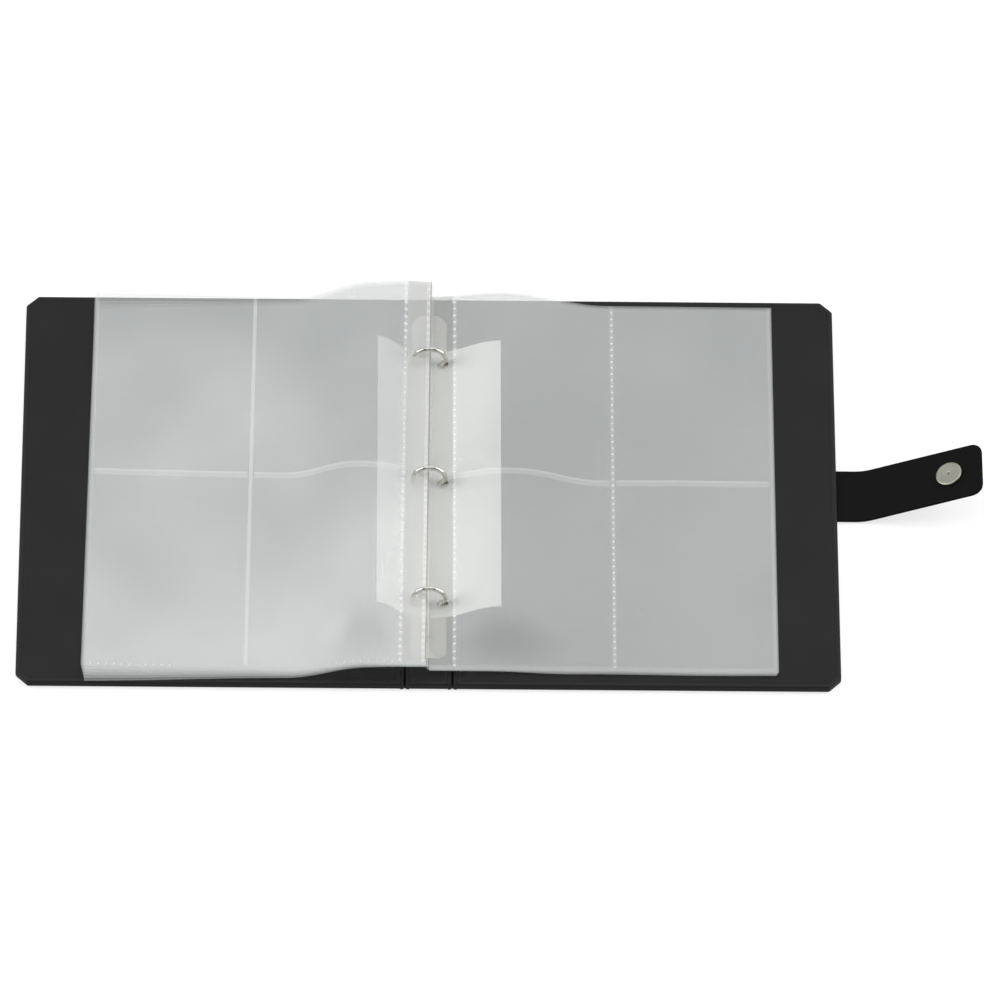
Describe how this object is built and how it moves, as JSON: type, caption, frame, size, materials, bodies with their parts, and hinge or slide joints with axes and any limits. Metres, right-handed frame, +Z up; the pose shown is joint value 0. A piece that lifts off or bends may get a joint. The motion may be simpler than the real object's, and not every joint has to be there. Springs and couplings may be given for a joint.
{
  "type": "ring photo album",
  "caption": "Padded leatherette photo album lying open, with metal ring binding, clear slip-in pocket leaves, white sheet lifters and a closing strap with a magnetic snap.",
  "frame": {"origin": "middle of the outer face of the spine, on the surface the open album lies on", "axes": "+X to the right across the open album, from the front cover to the back cover; +Y along the spine to the end where the pockets open; +Z up"},
  "size_m": [0.6371, 0.322, 0.0354],
  "materials": {
    "leatherette": "fine grained, semi-matt",
    "foam": "soft foam",
    "board": "matt",
    "lining": "smooth, semi-matt",
    "nickel": "bright nickel plate",
    "film": "clear, slightly milky film",
    "white_sheet": "satin",
    "snap_metal": "satin nickel"
  },
  "bodies": {
    "spine": {"spine_wrap": "leatherette", "spine_pad": "foam", "spine_board": "board", "spine_lining": "lining", "front_hinge_roll": "leatherette", "back_hinge_roll": "leatherette", "ring_plate": "nickel", "rivet_near": "nickel", "rivet_far": "nickel"},
    "front_cover": {"front_cover_wrap": "leatherette", "front_cover_pad": "foam", "front_cover_board": "board", "front_cover_lining": "lining", "cover_keeper": "snap_metal"},
    "back_cover": {"back_cover_wrap": "leatherette", "back_cover_pad": "foam", "back_cover_board": "board", "back_cover_lining": "lining", "strap_anchor": "leatherette"},
    "left_rings": {"left_blade": "nickel", "left_ring_near": "nickel", "left_ring_middle": "nickel", "left_ring_far": "nickel"},
    "right_rings": {"right_blade": "nickel", "right_ring_near": "nickel", "right_ring_middle": "nickel", "right_ring_far": "nickel"},
    "front_lifter": {"front_sheet_lifter": "white_sheet"},
    "rear_lifter": {"rear_sheet_lifter": "white_sheet"},
    "left_leaves": {"left_leaf_1": "film", "left_leaf_2": "film", "left_leaf_3": "film", "left_leaf_4": "film", "left_leaf_5": "film"},
    "left_top_leaf": {"left_leaf_6": "film"},
    "right_leaves": {"right_leaf_1": "film", "right_leaf_2": "film", "right_leaf_3": "film"},
    "right_top_leaf": {"right_leaf_4": "film"},
    "strap_bridge": {"strap_bridge": "leatherette"},
    "strap_tip": {"strap_tip": "leatherette", "snap_disc": "snap_metal"}
  },
  "joints": [
    {"name": "front_cover_hinge", "type": "hinge", "parent": "spine", "child": "front_cover", "pos_m": [-0.0156, 0, 0.003], "axis": [0, 1, 0], "range_deg": [0, 90]},
    {"name": "back_cover_hinge", "type": "hinge", "parent": "spine", "child": "back_cover", "pos_m": [0.0156, 0, 0.003], "axis": [0, -1, 0], "range_deg": [0, 90]},
    {"name": "front_lifter_swing", "type": "hinge", "parent": "spine", "child": "front_lifter", "pos_m": [0, 0, 0.0186], "axis": [0, 1, 0], "range_deg": [0, 90]},
    {"name": "rear_lifter_swing", "type": "hinge", "parent": "spine", "child": "rear_lifter", "pos_m": [0, 0, 0.0186], "axis": [0, -1, 0], "range_deg": [0, 90]},
    {"name": "left_leaves_swing", "type": "hinge", "parent": "spine", "child": "left_leaves", "pos_m": [0, 0, 0.0186], "axis": [0, 1, 0], "range_deg": [0, 90]},
    {"name": "right_leaves_swing", "type": "hinge", "parent": "spine", "child": "right_leaves", "pos_m": [0, 0, 0.0186], "axis": [0, -1, 0], "range_deg": [0, 90]},
    {"name": "left_leaf_turn", "type": "hinge", "parent": "left_leaves", "child": "left_top_leaf", "pos_m": [0, 0, 0.0186], "axis": [0, -1, 0], "range_deg": [-165, 0]},
    {"name": "right_leaf_turn", "type": "hinge", "parent": "right_leaves", "child": "right_top_leaf", "pos_m": [0, 0, 0.0186], "axis": [0, 1, 0], "range_deg": [-165, 0]},
    {"name": "left_ring_open", "type": "hinge", "parent": "spine", "child": "left_rings", "pos_m": [-0.0085, 0, 0.0075], "axis": [0, 1, 0], "range_deg": [-10, 0]},
    {"name": "right_ring_open", "type": "hinge", "parent": "spine", "child": "right_rings", "pos_m": [0.0085, 0, 0.0075], "axis": [0, -1, 0], "range_deg": [-10, 0]},
    {"name": "strap_root_fold", "type": "hinge", "parent": "back_cover", "child": "strap_bridge", "pos_m": [0.2722, 0, 0.0016], "axis": [0, -1, 0], "range_deg": [-20, 76.54]},
    {"name": "strap_tip_fold", "type": "hinge", "parent": "strap_bridge", "child": "strap_tip", "pos_m": [0.31003, 0, 0.01065], "axis": [0, -1, 0], "range_deg": [-25, 80.46]}
  ],
  "couplings": [
    {"joint": "front_lifter_swing", "follows": "front_cover_hinge", "ratio": 1},
    {"joint": "left_leaves_swing", "follows": "front_cover_hinge", "ratio": 1},
    {"joint": "rear_lifter_swing", "follows": "back_cover_hinge", "ratio": 1},
    {"joint": "right_leaves_swing", "follows": "back_cover_hinge", "ratio": 1},
    {"joint": "right_ring_open", "follows": "left_ring_open", "ratio": 1}
  ]
}
